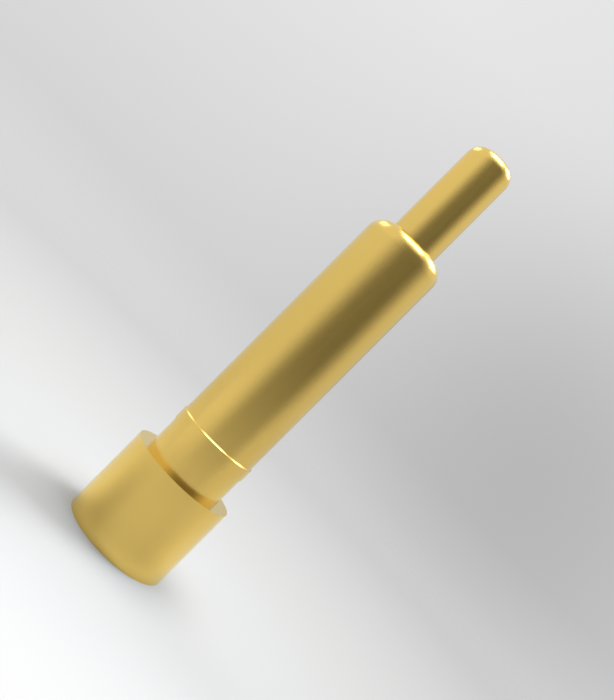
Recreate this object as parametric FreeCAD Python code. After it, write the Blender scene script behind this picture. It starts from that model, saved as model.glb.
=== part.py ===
# Spring-loaded contact pin, standing upright on its solder face.
# A turned barrel with a flange at its foot holds a coil spring and a sliding plunger.
# The barrel's mouth is rolled in, so the plunger's wider head can't leave it. Pressing the
# rounded tip slides the plunger down and shortens the spring. The origin is the centre of the
# solder face, and +Z points to the tip. All sizes are in millimetres.

import FreeCAD
import Part

import math
import os

# Barrel
barrel_diameter = 1.5
wall_thickness = 0.19
flange_width = 0.25        # how far the flange stands out of the barrel
flange_height = 1.6
stem_length = 5.4          # from the flange to the barrel's mouth
foot_thickness = 1.0       # solid metal under the straight part of the bore
drill_point_angle = 118.0  # the bore ends in the cone that its drill left

# Press-fit ring turned on the barrel
ring_rise = 0.02           # how far it stands out of the barrel
ring_height = 0.25
ring_lead_in = 0.02        # length of the slope on its upper edge; its lower edge is sharp
ring_above_flange = 0.58

# Rolled-in mouth
mouth_rounding = 0.3       # outside radius of the roll
lip_thickness = 0.19       # metal over the plunger's head
lip_corner_radius = 0.11   # inside radius of the roll

# Plunger
plunger_reach = 2.0        # from the mouth to the tip, at rest
tip_rim_radius = 0.25
tip_crown_radius = 2.0     # the slight dome that the contact touches first
head_width = 0.095         # how far the head stands out of the shank
head_length = 1.5
tail_slope = 12.0          # degrees: the slanted tail leans the head on the bore
running_clearance = 0.015  # radial: shank in the mouth, head in the bore
seat_gap = 0.01            # between pieces that rest on each other

# Spring
wire_diameter = 0.12
spring_clearance = 0.05    # radial: coils in the bore
end_turns = 2              # closed turns at each end
end_pitch = 0.125          # pitch of the closed turns
open_pitch = 0.265         # pitch of the open turns, before they are made a whole number

# Sizes that follow from these
barrel_radius = barrel_diameter / 2
flange_radius = barrel_radius + flange_width
bore_radius = barrel_radius - wall_thickness
head_radius = bore_radius - running_clearance
plunger_radius = head_radius - head_width
mouth_radius = plunger_radius + running_clearance
wire_radius = wire_diameter / 2
coil_radius = bore_radius - spring_clearance - wire_radius
barrel_top = flange_height + stem_length
lip_height = barrel_top - lip_thickness
head_top = lip_height - seat_gap
tail_height = head_top - head_length
tip_height = barrel_top + plunger_reach
drill_half_angle = math.radians(drill_point_angle / 2)

turning_axis = FreeCAD.Vector(0, 0, 1)


def at(radius, height):
    """A point of a turned profile: distance from the axis, height above the solder face."""
    return FreeCAD.Vector(radius, 0, height)


def line_edges(*points):
    """Straight edges from each point to the next."""
    return [Part.makeLine(start, end) for start, end in zip(points, points[1:])]


def arc_edge(centre, radius, start, end):
    """An arc between two angles in degrees, counted up from straight outward."""
    angles = [math.radians(angle) for angle in (start, (start + end) / 2, end)]
    points = [centre + at(radius * math.cos(a), radius * math.sin(a)) for a in angles]
    return Part.Arc(*points).toShape()


def turned(edges):
    """The solid that a closed profile sweeps in one turn about the axis."""
    profile = Part.Face(Part.Wire(edges))
    return profile.revolve(at(0, 0), turning_axis, 360)


def flange():
    return Part.makeCylinder(flange_radius, flange_height)


def stem():
    """The barrel's outside above the flange, up to the rounded mouth."""
    shoulder = barrel_top - mouth_rounding
    crown = barrel_radius - mouth_rounding
    sides = line_edges(at(crown, barrel_top), at(0, barrel_top), at(0, 0), at(barrel_radius, 0),
                       at(barrel_radius, shoulder))
    return turned(sides + [arc_edge(at(crown, shoulder), mouth_rounding, 0, 90)])


def ring():
    """The raised ring: sloped above, where it enters the housing, and sharp below to hold."""
    foot = flange_height + ring_above_flange
    top = foot + ring_height
    crest = barrel_radius + ring_rise
    return turned(line_edges(at(0, foot), at(crest, foot), at(crest, top - ring_lead_in),
                             at(barrel_radius, top), at(0, top), at(0, foot)))


def bore():
    """The drilled hole, from the cone at its end to the rounded underside of the lip."""
    point = foot_thickness - bore_radius / math.tan(drill_half_angle)
    corner = at(bore_radius - lip_corner_radius, lip_height - lip_corner_radius)
    sides = line_edges(at(corner.x, lip_height), at(0, lip_height), at(0, point),
                       at(bore_radius, foot_thickness), at(bore_radius, corner.z))
    return turned(sides + [arc_edge(corner, lip_corner_radius, 0, 90)])


def make_barrel():
    """One turned piece: flange, stem and ring, bored from above, with its mouth rolled in."""
    outside = stem().fuse([flange(), ring()]).removeSplitter()
    mouth = Part.makeCylinder(mouth_radius, stem_length, at(0, flange_height))
    return outside.cut([bore(), mouth])


def shank():
    """The part of the plunger that is seen, and on down to the tail."""
    crown_centre = at(0, tip_height - tip_crown_radius)
    rim_offset = plunger_radius - tip_rim_radius
    rim_rise = math.sqrt((tip_crown_radius - tip_rim_radius) ** 2 - rim_offset ** 2)
    rim_centre = crown_centre + at(rim_offset, rim_rise)
    meeting_angle = math.degrees(math.atan2(rim_rise, rim_offset))
    sides = line_edges(at(0, tip_height), at(0, tail_height), at(plunger_radius, tail_height),
                       at(plunger_radius, rim_centre.z))
    rim = arc_edge(rim_centre, tip_rim_radius, 0, meeting_angle)
    crown = arc_edge(crown_centre, tip_crown_radius, meeting_angle, 90)
    return turned(sides + [rim, crown])


def head():
    """The wider end that the lip holds back, rounded to follow the roll above it."""
    corner_radius = lip_corner_radius - running_clearance
    corner = at(head_radius - corner_radius, head_top - corner_radius)
    sides = line_edges(at(corner.x, head_top), at(0, head_top), at(0, tail_height),
                       at(head_radius, tail_height), at(head_radius, corner.z))
    return turned(sides + [arc_edge(corner, corner_radius, 0, 90)])


def tail_cut():
    """A block under the slanted tail, which is left longest on the +X side."""
    reach = 4 * head_radius
    block = Part.makeBox(reach, reach, reach, FreeCAD.Vector(-reach, -reach / 2, -reach))
    block.rotate(at(0, 0), FreeCAD.Vector(0, 1, 0), tail_slope)
    block.translate(at(head_radius, tail_height))
    return block


def make_plunger():
    return shank().fuse(head()).cut(tail_cut())


def make_spring():
    """A compression spring with closed ends, between the drilled cone and the tail.

    Each half turn is an arc in a plane tilted by the pitch, so the half turns meet in line.
    """
    cone_drop = (bore_radius - coil_radius) / math.tan(drill_half_angle)
    foot = foot_thickness - cone_drop + (wire_radius + seat_gap) / math.sin(drill_half_angle)
    top = tail_height - seat_gap - wire_radius
    open_length = top - foot - 2 * end_turns * end_pitch
    open_turns = max(1, round(open_length / open_pitch))
    half_pitches = [end_pitch / 2] * (2 * end_turns)
    half_pitches += [open_length / open_turns / 2] * (2 * open_turns)
    half_pitches += [end_pitch / 2] * (2 * end_turns)
    half_turns = []
    height = foot
    side = 1
    for rise in half_pitches:
        start = at(side * coil_radius, height)
        middle = FreeCAD.Vector(0, side * math.hypot(coil_radius, rise / 2), height + rise / 2)
        end = at(-side * coil_radius, height + rise)
        half_turns.append(Part.Arc(start, middle, end).toShape())
        height += rise
        side = -side
    wire_end = Part.makeCircle(wire_radius, at(coil_radius, foot), FreeCAD.Vector(0, 1, 0))
    return Part.Wire(half_turns).makePipeShell([Part.Wire(wire_end)], True, True)


pieces = {"barrel": make_barrel(), "plunger": make_plunger(), "spring": make_spring()}
os.makedirs("parts", exist_ok=True)
for name, shape in pieces.items():
    shape.exportStep("parts/" + name + ".step")
    print(name, len(shape.Solids), "solid, volume", round(shape.Volume, 4))
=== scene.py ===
import math

import bmesh
import bpy
from mathutils import Matrix, Vector


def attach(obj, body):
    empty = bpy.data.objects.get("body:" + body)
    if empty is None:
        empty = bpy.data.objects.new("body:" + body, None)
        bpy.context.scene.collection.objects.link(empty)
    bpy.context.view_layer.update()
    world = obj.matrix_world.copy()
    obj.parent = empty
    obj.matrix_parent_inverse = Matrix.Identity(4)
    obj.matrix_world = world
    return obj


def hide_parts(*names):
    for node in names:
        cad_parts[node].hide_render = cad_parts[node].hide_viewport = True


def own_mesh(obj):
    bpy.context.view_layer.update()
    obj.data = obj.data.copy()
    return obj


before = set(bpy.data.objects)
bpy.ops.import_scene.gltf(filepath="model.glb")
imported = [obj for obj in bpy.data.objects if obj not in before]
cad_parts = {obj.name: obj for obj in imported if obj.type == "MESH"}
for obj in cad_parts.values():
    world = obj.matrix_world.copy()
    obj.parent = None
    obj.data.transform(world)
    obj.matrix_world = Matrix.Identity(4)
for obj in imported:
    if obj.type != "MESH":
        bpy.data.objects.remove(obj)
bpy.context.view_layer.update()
scene = bpy.context.scene

# The barrel: one bar of brass turned on a lathe, with the flange it is soldered by and the ring
# that bites into its housing. It is bored from above, and once the spring and the plunger are in,
# its mouth is rolled in over the plunger's head. It is gold plated all over in a satin finish.

MM = 0.001                  # sizes are in millimetres, and angles in degrees
AROUND = 192                # facets round a turned piece
ARC_FACET = 5.0             # how far an arc of an outline turns from point to point, roughly
MERGE_DISTANCE = 1e-8       # metres: points nearer than this are one
CORNER = 25.0               # edges that turn more than this stay sharp
BARREL, BORE, MOUTH = 0.75, 0.56, 0.465    # radii
FLANGE, FLANGE_TOP = 1.0, 1.6
RING, RING_FOOT, RING_TOP, RING_SLOPE = 0.77, 2.18, 2.43, 0.02
BARREL_TOP, BORE_FOOT = 7.0, 1.0
ROLL_OUTSIDE, ROLL_INSIDE = 0.3, 0.11
DRILL_ANGLE = 118.0


def draw_outline(mesh, start, steps):
    """Draws a lathe outline: a step of two is a straight run to (radius, height), and a step of
    three is an arc about (radius, height) through that many degrees."""
    tip = mesh.verts.new((start[0] * MM, 0, start[1] * MM))
    for step in steps:
        if len(step) == 2:
            tip = bmesh.ops.extrude_vert_indiv(mesh, verts=[tip])["verts"][0]
            tip.co = (step[0] * MM, 0, step[1] * MM)
        else:
            centre = (step[0] * MM, 0, step[1] * MM)
            facets = max(2, round(abs(step[2]) / ARC_FACET))
            made = bmesh.ops.spin(mesh, geom=[tip], cent=centre, axis=(0, -1, 0),
                                  angle=math.radians(step[2]), steps=facets)
            tip = next(g for g in made["geom_last"] if isinstance(g, bmesh.types.BMVert))


def turn(mesh):
    """Spins what has been drawn into a closed piece."""
    bmesh.ops.spin(mesh, geom=mesh.verts[:] + mesh.edges[:], cent=(0, 0, 0), axis=(0, 0, 1),
                   angle=math.tau, steps=AROUND, use_merge=True)
    bmesh.ops.remove_doubles(mesh, verts=mesh.verts[:], dist=MERGE_DISTANCE)
    bmesh.ops.recalc_face_normals(mesh, faces=mesh.faces[:])


def make_piece(mesh, name, material, corner=CORNER):
    """Makes the mesh an object, smooth but for its corners."""
    data = bpy.data.meshes.new(name)
    for face in mesh.faces:
        face.smooth = True
    mesh.to_mesh(data)
    mesh.free()
    data.set_sharp_from_angle(angle=math.radians(corner))
    data.materials.append(material)
    piece = bpy.data.objects.new(name, data)
    scene.collection.objects.link(piece)
    return piece


class Value:
    """What a node's socket gives. Arithmetic on it adds the Math nodes that work it out."""

    def __init__(self, finish, socket):
        self.finish = finish
        self.socket = socket

    def __add__(self, other):
        return self.finish.maths("ADD", self, other)

    def __radd__(self, other):
        return self.finish.maths("ADD", other, self)

    def __sub__(self, other):
        return self.finish.maths("SUBTRACT", self, other)

    def __rsub__(self, other):
        return self.finish.maths("SUBTRACT", other, self)

    def __mul__(self, other):
        return self.finish.maths("MULTIPLY", self, other)

    def __rmul__(self, other):
        return self.finish.maths("MULTIPLY", other, self)


class Finish:
    """The nodes that give a material, or the air, its look."""

    def __init__(self, tree):
        self.tree = tree

    def node(self, kind, settings, inputs, output=0):
        """A node of a kind, with its settings, then the values or links of its sockets."""
        node = self.tree.nodes.new(kind)
        for key, setting in settings.items():
            setattr(node, key, setting)
        self.feed(node, inputs)
        return Value(self, node.outputs[output])

    def feed(self, node, inputs):
        """Sets a node's sockets to plain numbers and colours, or links them to values."""
        for key, value in inputs.items():
            if isinstance(value, Value):
                self.tree.links.new(value.socket, node.inputs[key])
            else:
                node.inputs[key].default_value = value

    def maths(self, operation, first, second):
        """One step of arithmetic on two values, or a value and a plain number."""
        return self.node("ShaderNodeMath", {"operation": operation}, {0: first, 1: second})

    def blend(self, share, first, second):
        """A colour between two others, as far from the first as the share says."""
        return self.node("ShaderNodeMix", {"data_type": "RGBA"}, {0: share, 6: first, 7: second}, 2)

    def place(self):
        """Where a point of the piece is, in metres."""
        return self.node("ShaderNodeTexCoord", {}, {}, "Object")

    def along(self, place, axis):
        """How far a place lies to the right (0), to the back (1) or up (2)."""
        return self.node("ShaderNodeSeparateXYZ", {}, {0: place}, axis)

    def length(self, place):
        """How far a place lies from the origin."""
        return self.node("ShaderNodeVectorMath", {"operation": "LENGTH"}, {0: place}, 1)


def new_material(name):
    """A material, its finish and its shader."""
    material = bpy.data.materials.new(name)
    material.use_nodes = True
    tree = material.node_tree
    return material, Finish(tree), tree.nodes["Principled BSDF"]


GOLD = (0.9, 0.63, 0.175, 1)
GOLD_THICK = (0.92, 0.645, 0.17, 1)     # where the plating came out a little heavier
GOLD_EDGE = (0.95, 1, 1, 1)             # its tint where it is seen at a low angle
GOLD_ROUGHNESS, GOLD_SPREAD = 0.2, 0.04
PATCH_SIZE = 0.8                        # across the heavier patches of the plating
CUT_SPACING, CUT_DEPTH = 0.012, 0.0003  # the marks of the lathe's tool
GRAIN_SIZE, GRAIN_DEPTH = 0.022, 0.0015


def satin_gold(name):
    """Gold over turned brass: fine rings left by the tool, and the grain of the plating bath."""
    material, gold, surface = new_material(name)
    place = gold.place()
    flat = gold.node("ShaderNodeVectorMath", {"operation": "MULTIPLY"}, {0: place, 1: (1, 1, 0)})
    tool_path = gold.along(place, 2) - gold.length(flat)
    rings = gold.node("ShaderNodeTexNoise", {"noise_dimensions": "1D"},
                      {"W": tool_path, "Scale": 1 / (CUT_SPACING * MM), "Detail": 1.0})
    grain = gold.node("ShaderNodeTexNoise", {},
                      {"Vector": place, "Scale": 1 / (GRAIN_SIZE * MM), "Detail": 2.0})
    patches = gold.node("ShaderNodeTexNoise", {},
                        {"Vector": place, "Scale": 1 / (PATCH_SIZE * MM), "Detail": 3.0})
    relief = CUT_DEPTH * MM * rings + GRAIN_DEPTH * MM * grain
    bump = gold.node("ShaderNodeBump", {}, {"Strength": 1.0, "Distance": 1.0, "Height": relief})
    gold.feed(surface, {"Base Color": gold.blend(patches, GOLD, GOLD_THICK),
                        "Roughness": GOLD_ROUGHNESS - GOLD_SPREAD / 2 + GOLD_SPREAD * patches,
                        "Normal": bump, "Metallic": 1.0, "Specular Tint": GOLD_EDGE})
    return material


drill_point = BORE_FOOT - BORE / math.tan(math.radians(DRILL_ANGLE / 2))
roll_height = BARREL_TOP - ROLL_OUTSIDE
roll_reach = math.degrees(math.acos((MOUTH - (BARREL - ROLL_OUTSIDE)) / ROLL_OUTSIDE))
lip_reach = math.degrees(math.acos((MOUTH - (BORE - ROLL_INSIDE)) / ROLL_INSIDE))
lip_height = roll_height + ROLL_INSIDE * math.sin(math.radians(lip_reach))

barrel_mesh = bmesh.new()
draw_outline(barrel_mesh, (0, 0), [
    (FLANGE, 0), (FLANGE, FLANGE_TOP), (BARREL, FLANGE_TOP),
    (BARREL, RING_FOOT), (RING, RING_FOOT), (RING, RING_TOP - RING_SLOPE), (BARREL, RING_TOP),
    (BARREL, roll_height), (BARREL - ROLL_OUTSIDE, roll_height, roll_reach),
    (MOUTH, lip_height), (BORE - ROLL_INSIDE, roll_height, -lip_reach),
    (BORE, BORE_FOOT), (0, drill_point),
])
turn(barrel_mesh)
barrel = make_piece(barrel_mesh, "turned_barrel", satin_gold("barrel_gold"))
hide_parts("barrel")
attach(barrel, "barrel")

# The spring: hard-drawn stainless wire wound round a mandrel, with its end turns closed. It sits in
# the cone at the bottom of the bore and pushes on the plunger's tail. It shortens as the tip is
# pressed. Here it rides with the barrel and has a mesh of its own.

WIRE, COIL = 0.06, 0.45                 # radii of the wire and of the coil
SPRING_FOOT, SPRING_TOP = 1.0156, 5.23  # the middle of the wire at its two ends
END_TURNS, END_PITCH, OPEN_TURNS = 2, 0.125, 14
TURN_STEPS, WIRE_FACETS = 40, 16
WIRE_CORNER = 50.0
STEEL_DARK = (0.5, 0.49, 0.47, 1)
STEEL_LIGHT = (0.62, 0.61, 0.59, 1)
STEEL_GRAIN = 0.01
STEEL_ROUGHNESS, STEEL_SPREAD = 0.28, 0.15

spring_steel, steel, steel_surface = new_material("spring_steel")
steel_grain = steel.node("ShaderNodeTexNoise", {}, {"Vector": steel.place(),
                                                    "Scale": 1 / (STEEL_GRAIN * MM), "Detail": 2.0})
steel.feed(steel_surface, {"Base Color": steel.blend(steel_grain, STEEL_DARK, STEEL_LIGHT),
                           "Roughness": STEEL_ROUGHNESS + STEEL_SPREAD * steel_grain,
                           "Metallic": 1.0})

open_pitch = (SPRING_TOP - SPRING_FOOT - 2 * END_TURNS * END_PITCH) / OPEN_TURNS
wire_start = Matrix.Translation((COIL * MM, 0, SPRING_FOOT * MM))
wire_upright = Matrix.Rotation(math.pi / 2, 4, "X")

spring_mesh = bmesh.new()
bmesh.ops.create_circle(spring_mesh, radius=WIRE * MM, segments=WIRE_FACETS,
                        matrix=wire_start @ wire_upright)
wire = spring_mesh.verts[:] + spring_mesh.edges[:]
for turns, pitch in ((END_TURNS, END_PITCH), (OPEN_TURNS, open_pitch), (END_TURNS, END_PITCH)):
    wound = bmesh.ops.spin(spring_mesh, geom=wire, cent=(0, 0, 0), axis=(0, 0, 1),
                           dvec=(0, 0, pitch * MM / TURN_STEPS), angle=math.tau * turns,
                           steps=turns * TURN_STEPS)
    wire = wound["geom_last"]
bmesh.ops.holes_fill(spring_mesh, edges=spring_mesh.edges[:], sides=WIRE_FACETS)
bmesh.ops.recalc_face_normals(spring_mesh, faces=spring_mesh.faces[:])
spring = make_piece(spring_mesh, "coil_spring", spring_steel, WIRE_CORNER)
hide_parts("spring")
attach(spring, "barrel")
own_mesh(spring)

# The plunger: a second turned piece of gold-plated brass. Its rounded tip touches the other
# device's contact, and its wider head stays behind the rolled mouth. The tail is cut at a slant,
# so that the spring leans the head against the bore.

SHANK, HEAD = 0.45, 0.545               # radii
TIP, HEAD_TOP, TAIL = 9.0, 6.8, 5.3
TIP_RIM, TIP_CROWN = 0.25, 2.0
HEAD_CORNER = 0.095
TAIL_SLOPE = 12.0

head_shoulder = HEAD_TOP - HEAD_CORNER
rim_offset = SHANK - TIP_RIM
rim_rise = math.sqrt((TIP_CROWN - TIP_RIM) ** 2 - rim_offset ** 2)
rim_reach = math.degrees(math.atan2(rim_rise, rim_offset))
crown_height = TIP - TIP_CROWN
rim_height = crown_height + rim_rise
tail_slant = math.radians(TAIL_SLOPE)

plunger_mesh = bmesh.new()
draw_outline(plunger_mesh, (0, TAIL), [
    (HEAD, TAIL), (HEAD, head_shoulder), (HEAD - HEAD_CORNER, head_shoulder, 90),
    (SHANK, rim_height), (rim_offset, rim_height, rim_reach), (0, crown_height, 90 - rim_reach),
])
turn(plunger_mesh)
plunger_parts = plunger_mesh.verts[:] + plunger_mesh.edges[:] + plunger_mesh.faces[:]
sliced = bmesh.ops.bisect_plane(plunger_mesh, geom=plunger_parts,
                                plane_co=(HEAD * MM, 0, TAIL * MM),
                                plane_no=(math.sin(tail_slant), 0, math.cos(tail_slant)),
                                clear_inner=True)
tail_rim = [g for g in sliced["geom_cut"] if isinstance(g, bmesh.types.BMEdge)]
bmesh.ops.holes_fill(plunger_mesh, edges=tail_rim, sides=0)
bmesh.ops.recalc_face_normals(plunger_mesh, faces=plunger_mesh.faces[:])
plunger = make_piece(plunger_mesh, "turned_plunger", satin_gold("plunger_gold"))
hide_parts("plunger")
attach(plunger, "plunger")

# The air of the studio: pale all round, lighter overhead, towards the floor and to the left. It is
# greyest in one soft dip, low behind the pin on the right.

AIR = 0.645
AIR_SIDES, AIR_LEFT = 0.02, 0.035       # what it gains to both sides, and from right to left
AIR_ABOVE, AIR_CEILING = 0.4, 0.15      # what it gains overhead, and the most of that
AIR_BELOW, AIR_FLOOR = 0.5, 0.2         # the same towards the floor
AIR_DIP, DIP_SHARPNESS = 0.205, 28.0
DIP_DIRECTION = (0.275, 0.95, 0.14)
AIR_ON_FLOOR = 0.73                     # the share of this light that falls on matt surfaces

world = bpy.data.worlds.new("studio_air")
world.use_nodes = True
air = Finish(world.node_tree)
outlook = air.node("ShaderNodeTexCoord", {}, {}, "Generated")
rightward = air.along(outlook, 0)
upward = air.along(outlook, 2)
sideways = AIR_SIDES * rightward * rightward - AIR_LEFT * rightward
overhead = air.maths("MINIMUM", AIR_ABOVE * upward, AIR_CEILING)
underfoot = air.maths("MINIMUM", air.maths("MAXIMUM", -AIR_BELOW * upward, 0.0), AIR_FLOOR)
toward_dip = air.node("ShaderNodeVectorMath", {"operation": "DOT_PRODUCT"},
                      {0: outlook, 1: DIP_DIRECTION}, 1)
dip = AIR_DIP * air.maths("POWER", air.maths("MAXIMUM", toward_dip, 0.0), DIP_SHARPNESS)
seen = air.node("ShaderNodeLightPath", {}, {}, "Is Camera Ray")
mirrored = air.node("ShaderNodeLightPath", {}, {}, "Is Glossy Ray")
in_view = air.maths("MAXIMUM", seen, mirrored)
air_level = AIR + sideways + air.maths("MAXIMUM", overhead, underfoot) - dip
air_level = air_level * (AIR_ON_FLOOR + (1 - AIR_ON_FLOOR) * in_view)
air.feed(world.node_tree.nodes["Background"], {"Color": air_level})
scene.world = world

# The floor: matt pale paint that thins out into the air, so that no edge or seam shows. Light and
# shade are painted into it: it is lightest round the pin, in front of it and to the left, and
# greyer further off. Close to the foot it has a painted shadow, and a painted cool tint against the
# warm light that the gold throws on it there.

FLOOR, FLOOR_FACETS, FLOOR_FADE = 60.0, 96, 8.0
# painted shade: the floor's tone falls with distance from the pin
FLOOR_TONE, PAINTED_FALLOFF, FLOOR_FALL_END = 0.635, 0.24, 25.0
# painted light: the floor is lighter in front of the pin
PAINTED_FRONT_LIGHT, FRONT_FROM, FRONT_TO = 0.125, -1.0, -6.0
# painted light and shade: the floor is lighter to the left and greyer to the right
PAINTED_SIDE_LIGHT, FLOOR_SIDE = 0.11, 20.0     # lighter to the left, greyer to the right
PLAIN = (1, 1, 1, 1)
# a painted cool tint near the pin, against the warm light that the gold throws on the floor
PAINTED_COOL_TINT, COOL_FULL, COOL_END = (0.98, 1.0, 1.02, 1), 2.0, 7.0
# a painted shadow round the foot of the pin
PAINTED_FOOT_SHADOW, FOOT_FROM, FOOT_TO = (0.73, 0.775, 0.835, 1), 1.0, 2.3


def fade(finish, value, start, end, before=1.0, after=0.0):
    """Goes smoothly from one level to another while a value passes from start to end."""
    return finish.node("ShaderNodeMapRange", {"interpolation_type": "SMOOTHSTEP"},
                       {"Value": value, "From Min": start, "From Max": end, "To Min": before,
                        "To Max": after})


def matt(finish, surface, colour, hold):
    """Paint with no gloss, and seen through where it doesn't hold."""
    finish.feed(surface, {"Base Color": colour, "Roughness": 1.0, "Specular IOR Level": 0.0,
                          "Alpha": hold})


floor_paint, paint, floor_surface = new_material("floor_paint")
floor_place = paint.place()
floor_reach = paint.length(floor_place)
floor_hold = fade(paint, floor_reach, FLOOR_FADE * MM, FLOOR * MM)
side_light_paint = fade(paint, paint.along(floor_place, 0), -FLOOR_SIDE * MM, FLOOR_SIDE * MM,
                  1 + PAINTED_SIDE_LIGHT, 1 - PAINTED_SIDE_LIGHT)
front_light_paint = fade(paint, paint.along(floor_place, 1), FRONT_TO * MM, FRONT_FROM * MM,
                   PAINTED_FRONT_LIGHT, 0.0)
floor_far = paint.maths("MINIMUM", floor_reach * (1 / (FLOOR_FALL_END * MM)), 1.0)
# the floor's tone with its painted falloff and painted front light
floor_tone = FLOOR_TONE + front_light_paint - PAINTED_FALLOFF * paint.maths("POWER", floor_far, 0.5)
# how much of the painted cool tint a point of the floor gets
cool_tint_share = fade(paint, floor_reach, COOL_FULL * MM, COOL_END * MM)
# how much of the painted foot shadow a point of the floor gets
foot_shadow_share = paint.node("ShaderNodeMapRange", {},
                       {"Value": floor_reach, "From Min": FOOT_FROM * MM,
                        "From Max": FOOT_TO * MM, "To Min": 1.0, "To Max": 0.0})
floor_colour = paint.blend(cool_tint_share, PLAIN, PAINTED_COOL_TINT)
floor_colour = paint.blend(foot_shadow_share * foot_shadow_share, floor_colour, PAINTED_FOOT_SHADOW)
floor_colour = paint.node("ShaderNodeVectorMath", {"operation": "SCALE"},
                          {0: floor_colour, "Scale": floor_tone * side_light_paint})
matt(paint, floor_surface, floor_colour, floor_hold)

floor_mesh = bmesh.new()
bmesh.ops.create_circle(floor_mesh, cap_ends=True, radius=FLOOR * MM, segments=FLOOR_FACETS)
floor = make_piece(floor_mesh, "studio_floor", floor_paint)

# A dark card stands to the right of the camera and gives the metal its dark stripe. It thins out
# at both ends. Neither it nor the sheet that follows is seen by the camera, or shades the floor.

CARD_TONE = (0.19, 0.19, 0.19, 1)
CARD_DISTANCE, CARD_FOOT, CARD_TOP = 48.0, 0.2, 70.0
CARD_MIDDLE, CARD_FULL, CARD_END = 25.0, 20.0, 80.0    # degrees round from the camera's side
SWEEP_FACETS = 48


def round_from_camera(finish, place):
    """How far round the pin a point lies: nothing on the camera's side, more to the right."""
    return finish.maths("ARCTAN2", finish.along(place, 0), 0.0 - finish.along(place, 1))


def fade_round(finish, turned, middle, full, end):
    """Holds up to so many degrees from a middle, and has faded out at the end."""
    aside = finish.maths("ABSOLUTE", turned - math.radians(middle), 0.0)
    return fade(finish, aside, math.radians(full), math.radians(end))


def sweep(mesh, middle, end):
    """Sweeps what has been drawn round the pin, as far as the end on both sides of a middle."""
    bmesh.ops.rotate(mesh, verts=mesh.verts[:], cent=(0, 0, 0),
                     matrix=Matrix.Rotation(math.radians(middle - end - 90), 3, "Z"))
    bmesh.ops.spin(mesh, geom=mesh.verts[:] + mesh.edges[:], cent=(0, 0, 0), axis=(0, 0, 1),
                   angle=math.radians(2 * end), steps=SWEEP_FACETS)


def show_in_gloss_only(piece):
    piece.visible_camera = False
    piece.visible_diffuse = False
    piece.visible_shadow = False


card_grey, card_paint, card_surface = new_material("card_grey")
card_turned = round_from_camera(card_paint, card_paint.place())
card_hold = fade_round(card_paint, card_turned, CARD_MIDDLE, CARD_FULL, CARD_END)
matt(card_paint, card_surface, CARD_TONE, card_hold)

card_mesh = bmesh.new()
draw_outline(card_mesh, (CARD_DISTANCE, CARD_FOOT), [(CARD_DISTANCE, CARD_TOP)])
sweep(card_mesh, CARD_MIDDLE, CARD_END)
card = make_piece(card_mesh, "dark_card", card_grey)
show_in_gloss_only(card)

# A thin grey sheet of painted shade lies over the floor in front of the pin, and only the metal
# sees it. Close to the pin it stands in for the shade that the pin casts there, so that the front
# of the metal isn't washed out low down. It holds more strongly further off, under the camera and
# to its right, as painted shade beside the dark card.

SHADE_SHEET_TONE = (0.16, 0.16, 0.16, 1)
SHEET_HEIGHT, SHEET_START, SHEET_END = 0.05, 1.02, 47.0
NEAR_HOLD, NEAR_MIDDLE, NEAR_FULL, NEAR_END = 0.42, 0.0, 36.0, 105.0
NEAR_RISEN, NEAR_FALLS, NEAR_GONE = 2.0, 10.0, 20.0    # distances from the pin's axis
FAR_HOLD, FAR_MIDDLE, FAR_FULL, FAR_END = 0.68, 20.0, 25.0, 70.0
FAR_STARTS, FAR_RISEN = 6.0, 16.0

painted_floor_shade, sheet_paint, sheet_surface = new_material("painted_floor_shade")
sheet_place = sheet_paint.place()
sheet_reach = sheet_paint.length(sheet_place)
sheet_turned = round_from_camera(sheet_paint, sheet_place)
# close to the pin: painted shade of the pin's own shadow on the floor
near_hold = (NEAR_HOLD * fade_round(sheet_paint, sheet_turned, NEAR_MIDDLE, NEAR_FULL, NEAR_END)
             * fade(sheet_paint, sheet_reach, SHEET_START * MM, NEAR_RISEN * MM, 0.0, 1.0)
             * fade(sheet_paint, sheet_reach, NEAR_FALLS * MM, NEAR_GONE * MM))
# further off, to the right: painted shade beside the dark card
far_hold = (FAR_HOLD * fade_round(sheet_paint, sheet_turned, FAR_MIDDLE, FAR_FULL, FAR_END)
            * fade(sheet_paint, sheet_reach, FAR_STARTS * MM, FAR_RISEN * MM, 0.0, 1.0))
sheet_hold = sheet_paint.maths("MAXIMUM", near_hold, far_hold)
matt(sheet_paint, sheet_surface, SHADE_SHEET_TONE, sheet_hold)

sheet_mesh = bmesh.new()
draw_outline(sheet_mesh, (SHEET_START, SHEET_HEIGHT), [(SHEET_END, SHEET_HEIGHT)])
sweep(sheet_mesh, NEAR_MIDDLE, NEAR_END)
sheet = make_piece(sheet_mesh, "painted_shade_sheet", painted_floor_shade)
show_in_gloss_only(sheet)

# Soft boxes hang over the pin, facing down. Each is given by its place and size as it would be
# on a ceiling one unit above the barrel's mouth, and by its share of the brightness.

CEILING, BRIGHTNESS = 150.0, 3.2

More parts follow.
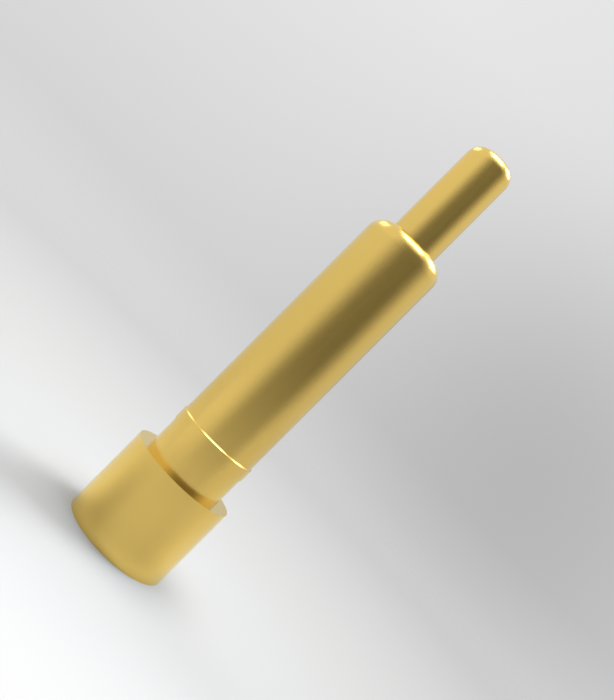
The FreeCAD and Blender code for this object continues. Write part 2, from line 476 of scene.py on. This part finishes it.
for name, left, right, front, back, share in (
        ("overhead_box", -0.33, 0.36, -0.26, 0.34, 1.55),
        ("right_box", 0.42, 1.1, 0.25, 1.05, 1.3),
        ("left_box", -1.65, -0.85, 0.45, 1.45, 0.41)):
    lamp = bpy.data.lights.new(name, "AREA")
    lamp.shape = "RECTANGLE"
    lamp.size = (right - left) * CEILING * MM
    lamp.size_y = (back - front) * CEILING * MM
    lamp.energy = BRIGHTNESS * share * lamp.size * lamp.size_y * math.pi
    box = bpy.data.objects.new(name, lamp)
    box.location = ((left + right) / 2 * CEILING * MM, (front + back) / 2 * CEILING * MM,
                    (BARREL_TOP + CEILING) * MM)
    box.visible_camera = False
    scene.collection.objects.link(box)

# One more lamp, behind the pin on the right, lays its soft shadow on the floor to the left. The
# metal doesn't show it.

SHADOW_AROUND, SHADOW_UP = 58.0, 45.0       # round from straight behind the pin, and up
SHADOW_DISTANCE, SHADOW_LAMP = 150.0, 75.0
SHADOW_LIGHT = 0.26                         # how much it adds to a matt floor

lamp_reach = SHADOW_DISTANCE * MM
lamp_around = math.radians(SHADOW_AROUND)
lamp_up = math.radians(SHADOW_UP)
lamp_place = lamp_reach * Vector((math.cos(lamp_up) * math.sin(lamp_around),
                                  math.cos(lamp_up) * math.cos(lamp_around),
                                  math.sin(lamp_up)))
shadow_light = bpy.data.lights.new("shadow_lamp", "AREA")
shadow_light.shape = "DISK"
shadow_light.size = SHADOW_LAMP * MM
shadow_light.energy = SHADOW_LIGHT / math.sin(lamp_up) * math.pi ** 2 * lamp_reach ** 2
shadow_lamp = bpy.data.objects.new("shadow_lamp", shadow_light)
shadow_lamp.location = lamp_place
shadow_lamp.rotation_euler = lamp_place.to_track_quat("Z", "Y").to_euler()
shadow_lamp.visible_camera = False
shadow_lamp.visible_glossy = False
scene.collection.objects.link(shadow_lamp)

# The camera stands in front of the pin, level with its middle, and looks straight ahead. It is
# rolled, so that the pin leans to the right in the picture.

CAMERA_DISTANCE, CAMERA_HEIGHT = 14.13, 4.5
VIEW_ANGLE, ROLL = 45.0, 45.0
CLIP_NEAR, CLIP_FAR = 0.5, 1000.0

look_ahead = Matrix.Rotation(math.pi / 2, 3, "X")
camera = bpy.data.objects.new("camera", bpy.data.cameras.new("camera"))
camera.data.angle = math.radians(VIEW_ANGLE)
camera.data.clip_start = CLIP_NEAR * MM
camera.data.clip_end = CLIP_FAR * MM
camera.location = (0, -CAMERA_DISTANCE * MM, CAMERA_HEIGHT * MM)
camera.rotation_euler = (look_ahead @ Matrix.Rotation(math.radians(ROLL), 3, "Z")).to_euler()
scene.collection.objects.link(camera)
scene.camera = camera
scene.view_settings.view_transform = "Standard"
